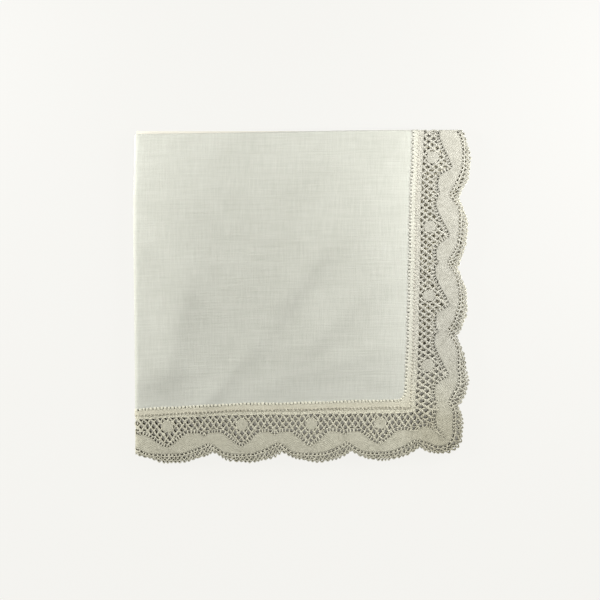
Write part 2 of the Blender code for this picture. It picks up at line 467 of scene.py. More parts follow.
def lies(points):
    """Where flat points (u, v, w) end up."""
    du, dv = slip(points[:, 0], points[:, 1])
    flat = points + np.column_stack((du, dv, np.zeros(len(points))))
    return settled(*folded(flat)) + OFFSET


def place_in_frame():
    """What moves the folded square to its place in the frame, by its left and top edges."""
    low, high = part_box("linen_panel")
    count = 200
    places = np.linspace(0.0, SEAM_HALF, count)
    reach = INNER_RADIUS + SHEET / 2
    left = settled(np.full(count, -(OUTER_RADIUS + reach)), -places, np.full(count, STACK / 2))
    highest = max(
        settled(places, np.full(count, reach), np.full(count, STACK / 2 + middle))[:, 1].max()
        for middle in (OUTER_RADIUS, -OUTER_RADIUS)
    )
    return np.array((low.x - left[:, 0].min(), high.y - highest, 0.0))


OFFSET = place_in_frame()


# The lace is drawn in one wedge, from a fold line to a corner's diagonal: a is the distance
# out from the seam and b the distance along it beyond the corner of the linen. The bottom lace
# has its scallops shifted along, and the right lace has a shift of 0.


def repeat_place(s, shift):
    """Place in the repeat at s along the seam from the fold. A shift stretches the first one."""
    return np.where(s < PITCH + shift, s * PITCH / (PITCH + shift), (s - shift) % PITCH)


def scallop(share):
    """Width of the lace at a share of a scallop's length."""
    crown = 1 - np.abs(2 * share - 1) ** SCALLOP_ROUNDNESS
    return LACE_AT_NOTCH + (LACE_AT_CROWN - LACE_AT_NOTCH) * crown


def corner_turn(s):
    """The angle turned round the corner at s along the seam, up to an eighth of a turn."""
    return np.maximum(s - SEAM_HALF, 0) / CORNER_RUN * math.pi / 4


def outline_width(s, shift):
    """Width of the lace at s along the seam and round the corner."""
    side = scallop(repeat_place(s, shift) / PITCH)
    turn = corner_turn(s)
    notch = math.pi / 2 - math.atan(BOTTOM_SHIFT / LACE_AT_NOTCH)
    if shift == 0:
        share = turn / notch
    else:
        past = math.pi / 2 - notch
        before_notch = 1 - shift / PITCH * (1 - turn / past)
        share = np.where(turn < past, before_notch, (math.pi / 2 - turn) / notch)
    return np.where(s < SEAM_HALF, side, scallop(share))


def trail_width(s, shift, inside):
    """Width from the seam to the inner or outer edge of the trail, rounded off a little."""
    total = 0
    end = SEAM_HALF + CORNER_RUN
    repeat, corner = TRAIL_EDGES[shift != 0, inside]
    for offset in ROUNDING:
        at = np.abs(s + offset)
        at = np.where(at > end, 2 * end - at, at)
        straight = np.interp(repeat_place(at, shift), *zip(*repeat), period=PITCH)
        beyond = at - SEAM_HALF - shift
        turned = np.interp(beyond, *zip(*corner))
        total = total + np.where(beyond < 0, straight, turned)
    return total / len(ROUNDING)


def spread(s, width):
    """(a, b) of a point by its place along the seam and round the corner, and its width."""
    turn = corner_turn(s)
    power = CORNER_SQUARENESS
    square = (np.cos(turn) ** power + np.sin(turn) ** power) ** (-1 / power)
    a = width * np.cos(turn) * square
    b = np.minimum(s - SEAM_HALF, 0) + width * np.sin(turn) * square
    return np.column_stack((a, b))


def unspread(a, b):
    """(place, width) of a point (a, b): the way back."""
    over = np.maximum(b, 0)
    turn = np.arctan2(over, np.maximum(a, 1e-9))
    width = (np.maximum(a, 0) ** CORNER_SQUARENESS + over**CORNER_SQUARENESS) ** (1 / CORNER_SQUARENESS)
    return SEAM_HALF + np.minimum(b, 0) + turn / (math.pi / 4) * CORNER_RUN, width


def summed(steps):
    """The running totals of some steps, from 0."""
    return np.concatenate(([0.0], np.cumsum(steps)))


def distances(line):
    """How far along the line each of its points is."""
    return summed(np.linalg.norm(np.diff(line, axis=0), axis=1))


def spaced(line, step):
    """The line with its points about a step apart, and closer together at the fold."""
    gaps = np.linalg.norm(np.diff(line, axis=0), axis=1)
    near_fold = (line[1:, 1] + SEAM_HALF) < NEAR_FOLD
    run = summed(gaps / np.where(near_fold, FOLD_STEP, step))
    count = max(2, math.ceil(run[-1]) + 1)
    at = np.linspace(0, run[-1], count)
    return np.column_stack((np.interp(at, run, line[:, 0]), np.interp(at, run, line[:, 1])))


def sideways(line):
    """A unit square to the line at each of its points, to the left of the way it runs."""
    along = np.gradient(line, axis=0)
    along /= np.linalg.norm(along, axis=1)[:, None] + 1e-12
    return np.column_stack((-along[:, 1], along[:, 0]))


def offset_line(line, distance):
    """The line moved sideways, away from the seam where the distance is positive."""
    return line - distance * sideways(line)


def thread(line, radius, rise=0.0, flat=0.85, sides=6):
    """Rings of a thread along a line of (a, b) points, rise above the lace's middle."""
    radius = np.broadcast_to(radius, len(line))[:, None]
    turn = np.arange(sides) * 2 * math.pi / sides
    plane = line[:, None, :] + (radius * np.cos(turn))[:, :, None] * sideways(line)[:, None, :]
    height = np.broadcast_to(rise, len(line))[:, None] + flat * radius * np.sin(turn)
    return np.concatenate((plane, height[:, :, None]), axis=2)


def strip(inner, outer, half_thick, across=5):
    """Rings of a flat strip of cloth between two lines that are matched point for point."""
    share = np.concatenate(([0.0], np.linspace(0.05, 0.95, across - 1), [1.0]))
    plane = inner[:, None, :] + (outer - inner)[:, None, :] * share[None, :, None]
    plane = np.concatenate((plane, plane[:, ::-1]), axis=1)
    height = np.repeat((half_thick, -half_thick), across + 1)
    height = np.broadcast_to(height, (len(inner), 2 * across + 2))
    return np.concatenate((plane, height[:, :, None]), axis=2)


def runs(line, keep):
    """The unbroken parts of a line where keep holds."""
    edges = np.flatnonzero(np.diff(np.concatenate(([0], keep.astype(int), [0]))))
    return [line[start:end] for start, end in zip(edges[::2], edges[1::2]) if end - start > 4]


def seam_places(step=SEAM_STEP):
    """Places along the seam from the fold, and round the corner to its diagonal."""
    return np.arange(0.0, SEAM_HALF + CORNER_RUN + step / 2, step)


def slanted(slope):
    """How much wider a gap is, straight out from the seam, beside an edge of that slope."""
    return np.sqrt(1 + np.minimum(slope**2, STEEPEST))


def spot_centres(shift):
    """The middles of the round spots, one for each repeat."""
    stretch = (PITCH + shift) / PITCH
    centres = [(SPOT_OUT, SPOT_ALONG * stretch - SEAM_HALF)]
    centres += [(SPOT_OUT, k * PITCH + shift + SPOT_ALONG - SEAM_HALF) for k in range(1, SCALLOPS)]
    return centres


def foot_edges(shift):
    """Where the footside starts and ends, out from the seam."""
    return (FOOT_IN_BELOW, FOOT_OUT_BELOW) if shift else (FOOT_IN, FOOT_OUT)


def in_net(line, shift):
    """Which points of a line lie in the net: not in the trail, past the corner's diagonal or in
    a spot."""
    a, b = line[:, 0], line[:, 1]
    s, width = unspread(a, b)
    rim = trail_width(s, shift, True)
    slope = (trail_width(s + SLOPE_STEP, shift, True) - rim) / SLOPE_STEP
    keep = (width < rim - LADDER * slanted(slope) + OVERLAP) & (b <= a)
    for spot_a, spot_b in spot_centres(shift):
        keep &= (a - spot_a) ** 2 + (b - spot_b) ** 2 > (SPOT_RADIUS - SPOT_OVERLAP) ** 2
    return keep


def net_thread(line, shift, i, sign, twisted, raised):
    """One thread of the net or a twisted pair, thicker at the crossings."""
    crossing = NET_SLOPE * NET_PITCH / 2
    off = (line[:, 0] - NET_ORIGIN) / crossing
    off = (off - np.round(off)) * crossing
    radius = NET_RADIUS if shift else NET_RADIUS_BESIDE
    radius = radius + KNOT * np.exp(-((off / KNOT_REACH) ** 2))
    radius *= 1 + 0.12 * math.sin(2.1 * i + sign)
    midway = smooth_step(line[:, 0] / HANG_START) * smooth_step((HANG_END - line[:, 0]) / HANG_FADE)
    lift = NET_PLY * sign + raised * midway
    if not twisted:
        return [thread(line, radius, rise=lift)]
    turn = distances(line) * math.pi / NET_TWIST + i
    pair = []
    for half in (0, math.pi):
        beside = PAIR_APART * radius * np.cos(turn + half)
        over = lift + PAIR_OVER * np.sin(turn + half)
        pair.append(thread(offset_line(line, beside[:, None]), PAIR_RADIUS * radius, rise=over, sides=5))
    return pair


def net_lines(shift, step, twisted=False, raised=0.0):
    """The threads of the lozenge net, which can be twisted pairs, or raised midway."""
    found = []
    foot = foot_edges(shift)[1]
    first = -math.ceil(NET_REACH / NET_SLOPE / NET_PITCH) - 2
    last = math.ceil((SEAM_HALF + NET_END) / NET_PITCH) + 12
    width = np.arange(foot - NET_START_IN, NET_REACH, FINE_STEP)
    for sign in (-1, 1):
        for i in range(first, last):
            place = (i + 0.5) * NET_PITCH + shift + sign * (width - NET_ORIGIN) / NET_SLOPE
            place = place + NET_SWAY * np.sin(1900 * width + 2.4 * i + sign)
            line = np.column_stack((width, place - SEAM_HALF))
            for part in runs(line, in_net(line, shift) & (place >= 0)):
                found += net_thread(spaced(part, step), shift, i, sign, twisted, raised)
    return found


def rungs(edge, other, pitch, radius):
    """Short threads between two matched lines, about a pitch apart along the first."""
    run = distances(edge)
    found = []
    places = np.arange(pitch / 2, run[-1], pitch)
    for k, place in enumerate(places + 0.14 * pitch * np.sin(7.3 * np.arange(len(places)))):
        i = min(int(np.searchsorted(run, place)), len(run) - 1)
        rung = np.linspace(edge[i], other[i], 3)
        found.append(thread(rung, radius * (1 + 0.15 * math.sin(5.1 * k)), rise=0.00012, flat=0.7))
    return found


def trail(shift):
    """The cloth-stitch trail, its edge threads, and the ladders of small holes beside them."""
    s = seam_places()
    inner = spread(s, trail_width(s, shift, True))
    outer = spread(s, trail_width(s, shift, False))
    run = summed(np.diff(s) / np.where(s[1:] < NEAR_FOLD, FOLD_STEP, TRAIL_STEP))
    at = np.interp(np.linspace(0, run[-1], math.ceil(run[-1])), run, s)
    pick = np.clip(np.round(at / SEAM_STEP).astype(int), 0, len(s) - 1)
    band = [strip(inner[pick], outer[pick], TRAIL_HALF_THICK, across=6)]
    rail = offset_line(inner, -LADDER)
    rail[:, 1] = np.minimum(rail[:, 1], rail[:, 0] - OVERLAP)
    line = offset_line(outer, PINHOLES)
    threads = [
        thread(spaced(inner, TRAIL_STEP), TRAIL_EDGE_RADIUS, rise=0.00006),
        thread(spaced(rail, TRAIL_STEP), RAIL_RADIUS, rise=0.00004),
        thread(spaced(outer, TRAIL_STEP), TRAIL_RIM_RADIUS, rise=0.00006),
        thread(spaced(line, TRAIL_STEP), OUTER_LINE_RADIUS, rise=0.00010),
    ]
    if not shift:
        midway = offset_line(inner, -0.55 * LADDER)
        threads.append(thread(spaced(midway, TRAIL_STEP), MIDWAY_RADIUS))
    ladders = rungs(inner, rail, LADDER_PITCH, LADDER_RADIUS)
    ladders += rungs(outer, line, PINHOLE_PITCH, PINHOLE_RADIUS)
    return band, threads, ladders


def outer_net(shift):
    """The small mesh between the outer line of the trail and the last line of the edge."""
    found = []
    s = seam_places(FINE_STEP)
    last = outline_width(s, shift) - EDGE_BAND
    rim = trail_width(s, shift, False)
    rim = rim + PINHOLES * slanted(np.gradient(rim, s)) - OVERLAP
    for sign in (-1, 1):
        for i in range(-12, int((SEAM_HALF + CORNER_RUN) / EDGE_PITCH) + 13):
            sway = 0.00012 * np.sin(2300 * s + 1.7 * i)
            width = last + OVERLAP - EDGE_SLOPE * sign * (s + sway - (i + 0.5) * EDGE_PITCH)
            keep = (width < last + OVERLAP) & (width > rim)
            radius = MESH_RADIUS * (1 + 0.2 * math.sin(3.7 * i + sign))
            for part in runs(spread(s, width), keep):
                found.append(thread(spaced(part, MESH_STEP), radius, rise=0.00005 * sign, sides=5))
    found.append(thread(spaced(spread(s, last), TRAIL_STEP), LAST_LINE_RADIUS, rise=0.00006))
    return found


def picots(shift):
    """The row of small loops on the outer edge."""
    s = seam_places(FINE_STEP)
    middle = outline_width(s, shift) - EDGE_BAND
    run = distances(spread(s, middle))
    wave = run / PICOT_PITCH * math.pi + 0.7 * np.sin(310 * run + 0.8) + 0.4 * np.sin(737 * run)
    height = 0.70 + 0.30 * np.sin(421 * run + 1.7) * np.sin(173 * run)
    out = EDGE_BAND * height * np.abs(np.sin(wave)) ** 1.2
    return [thread(spaced(spread(s, middle + out), PICOT_STEP), PICOT_RADIUS, sides=5)]


def spots(shift):
    """The round woven spots of the net, each with a thread round it."""
    discs, rings = [], []
    turn = np.linspace(0, 2 * math.pi, 25)
    circle = np.column_stack((np.cos(turn), np.sin(turn)))
    for centre in np.array(spot_centres(shift)):
        rim = centre + (SPOT_RADIUS - SPOT_RIM) * circle[::-1]
        heart = centre + 0.00002 * circle[::-1]
        discs.append(strip(rim, heart, SPOT_HALF_THICK, across=3))
        rings.append(thread(centre + (SPOT_RADIUS - OVERLAP) * circle, RING_RADIUS, rise=0.00006))
    return discs, rings


def footing(shift):
    """The dense footside beside the seam."""
    s = seam_places()
    s = s[(s < NEAR_FOLD) | (np.arange(len(s)) % 8 == 0)]
    near, far = foot_edges(shift)
    lines = [beside_seam(s, near + share * (far - near)) for share, radius in FOOT_THREADS]
    band = [strip(lines[0], lines[-1], FOOT_HALF_THICK, across=4)]
    threads = []
    for line, (share, radius) in zip(lines, FOOT_THREADS):
        threads.append(thread(spaced(line, FOOT_STEP), radius, rise=0.00010))
    return band, threads


def beside_seam(s, width):
    """A line beside the seam, on either side of it, that turns the corner square."""
    if width > 0:
        return spread(s, width + 0 * s)
    along = np.where(s > SEAM_HALF, 0.0, s - SEAM_HALF)
    return np.column_stack((width + 0 * s, np.minimum(along, width)))


def hem_lines(shift):
    """Matched lines: the edge of the plain cloth, and the hem band's inner and outer edge."""
    centre = -CLOTH_EDGE - CLOTH_CORNER
    near_fold = np.arange(0, NEAR_FOLD, HEM_FOLD_STEP)
    s = np.concatenate((near_fold, np.arange(NEAR_FOLD, SEAM_HALF + centre, HEM_STEP)))
    turn = np.linspace(0, math.pi / 4, 9)
    straight = np.column_stack((0 * s, s - SEAM_HALF))
    way = np.column_stack((np.cos(turn), np.sin(turn)))
    lines = []
    for edge in (CLOTH_EDGE, HEM_EDGE):
        side = straight + np.array((-edge, 0))
        lines.append(np.concatenate((side, centre + (-edge - centre) * way)))
    far = foot_edges(shift)[0] - OVERLAP
    corner = centre + (far - centre) * way / way[:, :1]
    lines.append(np.concatenate((straight + np.array((far, 0)), corner)))
    return lines


def hem(shift):
    """The flat band of the hem."""
    inner, outer = hem_lines(shift)[1:]
    return [strip(inner, outer, HEM_HALF_THICK)]


def hemstitch(shift):
    """The bundles of threads across the drawn-thread gap, each leaning a little."""
    cloth, inner = hem_lines(shift)[:2]
    run = distances(inner)
    count = round(run[-1] / STITCH_PITCH)
    radius = BUNDLE_RADIUS_BELOW if shift else BUNDLE_RADIUS
    found = []
    for k in range(count):
        place = (k + 0.5) * run[-1] / count
        start, end = (
            np.array([np.interp(place + lean, run, line[:, axis]) for axis in (0, 1)])
            for line, lean in ((cloth, -BUNDLE_LEAN), (inner, BUNDLE_LEAN))
        )
        past = BUNDLE_PAST * (end - start)
        bundle = np.linspace(start - past, end + past, len(STITCH_TAPER))
        found.append(thread(bundle, radius * STITCH_TAPER, rise=STITCH_RISE, flat=0.5, sides=7))
    return found


def seam_stitches(shift):
    """Whipping stitches that hold the footside to the hem."""
    found = []
    near = foot_edges(shift)[0]
    total = SEAM_HALF + near
    count = round(total / STITCH_PITCH)
    for k in range(count):
        place = (k + 0.5) * total / count - SEAM_HALF
        start = (near - SEAM_STITCH_IN, place - SEAM_STITCH_LEAN)
        end = (near + SEAM_STITCH_OUT, place + SEAM_STITCH_LEAN)
        line = np.linspace(start, end, len(STITCH_TAPER))
        found.append(thread(line, SEAM_STITCH_RADIUS * STITCH_TAPER, rise=STITCH_RISE))
    return found


def ring_faces(part):
    """The quads between a part's rings, and their corners' places along and round it."""
    stations, sides = part.shape[:2]
    i = np.arange(stations - 1)[:, None]
    j = np.arange(sides)[None, :]
    k = (j + 1) % sides
    quads = np.stack((i * sides + j, i * sides + k, (i + 1) * sides + k, (i + 1) * sides + j), axis=-1)
    run = distances(part.mean(axis=1)) * 1000
    low = np.broadcast_to(j / sides, (stations - 1, sides))
    high = low + 1 / sides
    here = np.broadcast_to(run[:-1, None], low.shape)
    there = np.broadcast_to(run[1:, None], low.shape)
    corners = ((here, low), (here, high), (there, high), (there, low))
    uv = np.stack([np.stack(corner, axis=-1) for corner in corners], axis=2)
    return quads.reshape(-1, 4), uv.reshape(-1, 4, 2)


def gather(name, parts_by_shift, material):
    """One piece from its wedges' rings: both kinds of wedge, each in all four quarters, folded.
    The quarters below can have plainer rings of their own."""
    points, faces, thread_uv = [], [], []
    start = 0
    for shift, *choices in parts_by_shift:
        for (sign_u, sign_v), choice in QUARTERS.items():
            for part in choices[min(choice, len(choices) - 1)]:
                a, b, w = part.reshape(-1, 3).T
                u, v = (b, a) if shift else (a, b)
                quads, uv = ring_faces(part)
                if (shift != 0) != (sign_u * sign_v < 0):
                    quads = quads[:, ::-1]
                    uv = uv[:, ::-1]
                points.append(np.column_stack(((SEAM_HALF + u) * sign_u, (SEAM_HALF + v) * sign_v, w)))
                faces.append(quads + start)
                thread_uv.append(uv)
                start += len(w)
    flat = np.concatenate(points)
    return make_piece(name, flat, np.concatenate(faces), np.concatenate(thread_uv), material)


def make_piece(name, flat, quads, thread_uv, material):
    """A mesh piece from flat points, folded and settled, with its two sets of coordinates."""
    mesh = bpy.data.meshes.new(name)
    placed = lies(flat)
    mesh.vertices.add(len(placed))
    mesh.vertices.foreach_set("co", placed.astype(np.float32).ravel())
    mesh.loops.add(quads.size)
    mesh.loops.foreach_set("vertex_index", quads.astype(np.int32).ravel())
    mesh.polygons.add(len(quads))
    mesh.polygons.foreach_set("loop_start", np.arange(0, quads.size, 4, dtype=np.int32))
    mesh.update(calc_edges=True)
    cloth = mesh.uv_layers.new(name="cloth")
    cloth.data.foreach_set("uv", (flat[quads.ravel(), :2] * 1000).astype(np.float32).ravel())
    along = mesh.uv_layers.new(name="thread")
    along.data.foreach_set("uv", thread_uv.astype(np.float32).ravel())
    mesh.validate()
    mesh.shade_smooth()
    mesh.materials.append(material)
    piece = bpy.data.objects.new(name, mesh)
    bpy.context.scene.collection.objects.link(piece)
    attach(piece, "root")
    return piece


def cloth_lines(half_bend, bend_steps):
    """Places of the cloth grid's lines, close together at the bend and at the corners."""
    edge = SEAM_HALF - CLOTH_EDGE
    count = round((edge - CLOTH_CORNER - half_bend) / CLOTH_STEP)
    flat = list(np.linspace(half_bend, edge - CLOTH_CORNER, count + 1)[1:])
    flat += list(edge - CLOTH_CORNER + CLOTH_CORNER * np.array((0.2, 0.4, 0.6, 0.8, 0.96, 1.0)))
    bend = list(np.linspace(-half_bend, half_bend, bend_steps + 1))
    return np.array([-place for place in reversed(flat)] + bend + flat)


def linen_cloth(material):
    """The plain linen inside the hemstitching, as one thin closed sheet."""
    columns = cloth_lines(OUTER_HALF, 12)
    rows = cloth_lines(INNER_HALF, 8)
    u, v = np.meshgrid(columns, rows)
    inside = SEAM_HALF - CLOTH_EDGE - CLOTH_CORNER
    x = np.clip((np.abs(u) - inside) / CLOTH_CORNER, 0, 1)
    y = np.clip((np.abs(v) - inside) / CLOTH_CORNER, 0, 1)
    u = np.where(x > 0, np.sign(u) * (inside + CLOTH_CORNER * x * np.sqrt(1 - y * y / 2)), u)
    v = np.where(y > 0, np.sign(v) * (inside + CLOTH_CORNER * y * np.sqrt(1 - x * x / 2)), v)
    index = np.arange(u.size).reshape(u.shape)
    top = np.stack((index[:-1, :-1], index[:-1, 1:], index[1:, 1:], index[1:, :-1]), axis=-1).reshape(-1, 4)
    bottom = top[:, ::-1] + u.size
    rim = np.concatenate((index[0, :], index[1:, -1], index[-1, -2::-1], index[-2:0:-1, 0]))
    after = np.roll(rim, -1)
    side = np.column_stack((rim, rim + u.size, after + u.size, after))
    faces = (CLOTH_HALF_THICK, -CLOTH_HALF_THICK)
    flat = np.concatenate([np.column_stack((u.ravel(), v.ravel(), np.full(u.size, w))) for w in faces])
    quads = np.concatenate((top, bottom, side))
    uv = flat[quads.ravel(), :2].reshape(-1, 4, 2) * 1000
    return make_piece("linen_cloth", flat, quads, uv, material)


class Nodes:
    """A short way to write a material's nodes."""

    def __init__(self, name):
        self.material = bpy.data.materials.new(name)
        self.material.use_nodes = True
        self.tree = self.material.node_tree
        self.shader = self.tree.nodes["Principled BSDF"]

    def add(self, kind, **values):
        node = self.tree.nodes.new(kind)
        for key, value in values.items():
            setattr(node, key, value)
        return node

    def give(self, socket, value):
        """Gives a socket a number, a colour, or what another node works out."""
        if isinstance(value, (int, float)):
            socket.default_value = value
        elif isinstance(value, tuple):
            socket.default_value = (*value, 1)
        else:
            self.tree.links.new(value, socket)

    def coordinates(self, layer, scale):
        where = self.add("ShaderNodeUVMap", uv_map=layer)
        mapping = self.add("ShaderNodeMapping")
        self.give(mapping.inputs["Scale"], scale)
        self.give(mapping.inputs["Vector"], where.outputs["UV"])
        return mapping.outputs["Vector"]

    def split(self, vector):
        node = self.add("ShaderNodeSeparateXYZ")
        self.give(node.inputs[0], vector)
        return node.outputs

    def noise(self, vector, detail=2.0, rough=0.5):
        node = self.add("ShaderNodeTexNoise")
        self.give(node.inputs["Scale"], 1.0)
        self.give(node.inputs["Detail"], detail)
        self.give(node.inputs["Roughness"], rough)
        self.give(node.inputs["Vector"], vector)
        return node.outputs["Fac"]

    def math(self, operation, *values):
        node = self.add("ShaderNodeMath", operation=operation)
        for socket, value in zip(node.inputs, values):
            self.give(socket, value)
        return node.outputs[0]

    def total(self, *terms):
        """The sum of some values, each times its weight."""
        result, *others = [self.math("MULTIPLY", value, weight) for value, weight in terms]
        for other in others:
            result = self.math("ADD", result, other)
        return result

    def wave(self, vector, axis):
        """A row of ridges, one for each unit along the axis."""
        return self.math("SINE", self.math("MULTIPLY", self.split(vector)[axis], 2 * math.pi))

    def blend(self, share, first, second, way="MIX"):
        node = self.add("ShaderNodeMix", data_type="RGBA", blend_type=way)
        self.give(node.inputs["Factor"], share)
        self.give(node.inputs[6], first)
        self.give(node.inputs[7], second)
        return node.outputs[2]

    def ramp(self, value, low, high):
        """value carried from low..high to 0..1."""
        node = self.add("ShaderNodeMapRange")
        self.give(node.inputs["From Min"], low)
        self.give(node.inputs["From Max"], high)
        self.give(node.inputs["Value"], value)
        return node.outputs["Result"]

    def shaded(self, colour, beside, below, inside_beside, inside_below):
        """The colour with painted shade and light: darker on the side edges (painted shade) and
        warmer on the bottom ones, darker at the outer corners (painted shade), and tinted apart in the
        quarters folded inside, as painted shade or painted light."""
        across, down = self.split(self.coordinates("cloth", (1, 1)))[:2]
        u = self.math("ABSOLUTE", across)
        v = self.math("ABSOLUTE", down)
        low_edge = self.ramp(self.math("SUBTRACT", v, u), *LOW_EDGE_TURN)
        low_edge = self.math("MULTIPLY", low_edge, self.ramp(v, *LOW_EDGE_START))
        # Painted shade at the outer corners
        corner_shade = self.ramp(self.math("MINIMUM", u, v), *CORNER_START)
        inside = self.ramp(down, *INSIDE_START)
        inside_tint = self.blend(low_edge, inside_beside, inside_below)
        colour = self.blend(corner_shade, colour, PAINTED_CORNER_SHADE, "MULTIPLY")
        # Painted shade on the side edges of the lace; the bottom edges only warmer
        colour = self.blend(1.0, colour, self.blend(low_edge, beside, below), "MULTIPLY")
        # The quarters folded inside, seen through the holes, as shaded copies: painted shade, or painted
        # light where the tint is over 1
        colour = self.blend(inside, colour, inside_tint, "MULTIPLY")
        self.give(self.shader.inputs["Base Color"], colour)

    def bump(self, height, distance):
        node = self.add("ShaderNodeBump")
        self.give(node.inputs["Distance"], distance)
        self.give(node.inputs["Strength"], 1.0)
        self.give(node.inputs["Height"], height)
        self.give(self.shader.inputs["Normal"], node.outputs["Normal"])

    def matte(self, rough, specular):
        self.give(self.shader.inputs["Roughness"], rough)
        self.give(self.shader.inputs["Specular IOR Level"], specular)


def linen_material(name, pale, deep, tints):
    """Plain woven linen: uneven threads both ways, with slubs, and painted shade that makes
    the middle of each quarter a little greyer."""
    n = Nodes(name)
    warp = n.noise(n.coordinates("cloth", (1.6, 0.10)), detail=3.0, rough=0.7)
    weft = n.noise(n.coordinates("cloth", (0.06, 1.6)), detail=3.0, rough=0.7)
    slub = n.noise(n.coordinates("cloth", (0.04, 0.5)))
    mottle = n.noise(n.coordinates("cloth", (0.045, 0.045)), detail=4.0)
    weave = n.coordinates("cloth", (2.4, 2.4))
    cross = n.math("MULTIPLY", n.wave(weave, 0), n.wave(weave, 1))
    # Painted shade: the middle of each quarter a little greyer
    quarter = n.coordinates("cloth", (0.5 / MIDDLE_SHADE_WIDTH, 0.5 / MIDDLE_SHADE_WIDTH))
    middle_shade = n.math("ABSOLUTE", n.math("MULTIPLY", n.wave(quarter, 0), n.wave(quarter, 1)))
    tone = n.total((warp, 0.52), (weft, 0.52), (mottle, 0.3), (slub, 0.15), (middle_shade, -0.155))
    n.shaded(n.blend(n.ramp(tone, 0.40, 1.10), deep, pale), *tints)
    n.bump(n.total((warp, 1.0), (weft, 1.0), (cross, 0.12), (slub, 0.6)), 0.00014)
    n.matte(0.9, 0.2)
    n.give(n.shader.inputs["Sheen Weight"], 0.07)
    return n.material


def thread_material(name, pale, deep, twist=0.9):
    """Spun thread with its twist."""
    n = Nodes(name)
    along, around = n.split(n.coordinates("thread", (twist, 2.0)))[:2]
    slant = n.math("ADD", along, around)
    ridges = n.math("ABSOLUTE", n.math("SINE", n.math("MULTIPLY", slant, math.pi)))
    mottle = n.noise(n.coordinates("cloth", (0.25, 0.25)), detail=3.0)
    tone = n.total((mottle, 0.8), (ridges, 0.25))
    n.shaded(n.blend(n.ramp(tone, 0.3, 0.85), deep, pale), *LACE_TINTS)
    n.bump(ridges, 0.00010)
    n.matte(0.9, 0.25)
    return n.material


def trail_material(name, pale, deep):
    """Cloth stitch: close rows of thread along the trail, crossed by the weaver's passes."""
    n = Nodes(name)
    fleck = n.noise(n.coordinates("cloth", (0.62, 0.62)), detail=4.0, rough=0.8)
    cloud = n.noise(n.coordinates("cloth", (0.22, 0.22)))
    ribs = n.wave(n.coordinates("thread", (1.05, 1.0)), 0)
    rows = n.wave(n.coordinates("thread", (1.0, 26.0)), 1)
    checks = n.math("MULTIPLY", ribs, rows)
    tone = n.total((checks, 0.15), (fleck, 0.95), (cloud, 0.4))
    n.shaded(n.blend(n.ramp(tone, 0.445, 1.145), deep, pale), *LACE_TINTS)
    n.bump(n.total((checks, 0.50), (fleck, 1.0)), 0.00012)
    n.matte(0.92, 0.2)
    return n.material


def stage_material(name, colour, glow, strength):
    """An even matte surface with a glow of its own."""
    n = Nodes(name)
    n.give(n.shader.inputs["Base Color"], colour)
    n.give(n.shader.inputs["Emission Color"], glow)
    n.give(n.shader.inputs["Emission Strength"], strength)
    n.matte(1.0, 0.0)
    return n.material


# Colours, the pale and the deep one of each material
LINEN = ((0.576, 0.583, 0.521), (0.386, 0.388, 0.335))
HEM = ((0.58, 0.575, 0.50), (0.44, 0.43, 0.35))
FOOT = ((0.71, 0.70, 0.62), (0.55, 0.535, 0.455))
LACE = ((0.60, 0.59, 0.52), (0.455, 0.44, 0.375))
EDGE = ((0.55, 0.54, 0.475), (0.40, 0.39, 0.33))
TRAIL = ((0.62, 0.61, 0.54), (0.36, 0.35, 0.295))
STITCH = ((0.645, 0.64, 0.57), (0.565, 0.555, 0.48))
SEAM = ((0.60, 0.59, 0.52), (0.46, 0.43, 0.365))
# Painted shade at the lace's outer corners
PAINTED_CORNER_SHADE = (0.84, 0.83, 0.80)
# Tints beside and below, and then the same for the quarters folded inside. Beside, the lace's tint is
# painted shade and below it is a warmer colour; inside, tints under 1 are painted shade and those over 1
# painted light
LINEN_TINTS = ((1.0, 1.0, 1.0), (1.0, 1.0, 1.0), (1.0, 0.93, 0.82), (1.0, 0.93, 0.82))
HEM_TINTS = ((1.0, 1.0, 1.0), (1.0, 0.97, 0.90), (1.0, 0.93, 0.82), (1.0, 0.93, 0.82))
LACE_TINTS = ((0.85, 0.845, 0.835), (1.0, 0.985, 0.90), (1.72, 1.70, 1.62), (0.55, 0.53, 0.47))


def dress():
    """Makes every piece of the handkerchief."""
    linen = linen_material("linen_weave", *LINEN, LINEN_TINTS)
    hem_cloth = linen_material("hem_weave", *HEM, HEM_TINTS)
    lace = thread_material("lace_thread", *LACE)
    joining = thread_material("seam_thread", *SEAM, twist=1.6)
    edging = thread_material("edge_thread", *EDGE)
    sewing = thread_material("sewing_thread", *STITCH, twist=1.6)
    woven = trail_material("cloth_stitch", *TRAIL)
    foot_cloth = trail_material("footside_stitch", *FOOT)
    cloth = linen_cloth(linen)
    shifts = (0.0, BOTTOM_SHIFT)
    trails = {s: trail(s) for s in shifts}
    feet = {s: footing(s) for s in shifts}
    rounds = {s: spots(s) for s in shifts}
    nets = []
    for s, hang in zip(shifts, (HANG, 0.0)):
        on_top = net_lines(s, NET_STEP, twisted=True)
        nets.append((s, on_top, net_lines(s, NET_STEP_UNDER), net_lines(s, NET_STEP_UNDER, raised=hang)))
    pieces = [
        gather("linen_hem", [(s, hem(s)) for s in shifts], hem_cloth),
        gather("hemstitch", [(s, hemstitch(s)) for s in shifts], sewing),
        gather("seam_stitches", [(s, seam_stitches(s)) for s in shifts], joining),
        gather("lace_footside", [(s, feet[s][0]) for s in shifts], foot_cloth),
        gather("lace_foot_threads", [(s, feet[s][1]) for s in shifts], lace),
        gather("lace_net", nets, lace),
        gather("lace_spots", [(s, rounds[s][0]) for s in shifts], woven),
        gather("lace_trail", [(s, trails[s][0]) for s in shifts], woven),
        gather("lace_trail_threads", [(s, trails[s][1] + rounds[s][1]) for s in shifts], lace),
        gather("lace_ladders", [(s, trails[s][2]) for s in shifts], lace),
        gather("lace_outer_mesh", [(s, outer_net(s)) for s in shifts], edging),
        gather("lace_picots", [(s, picots(s)) for s in shifts], edging),
    ]
    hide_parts("linen_panel")
    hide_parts("lace_edging")


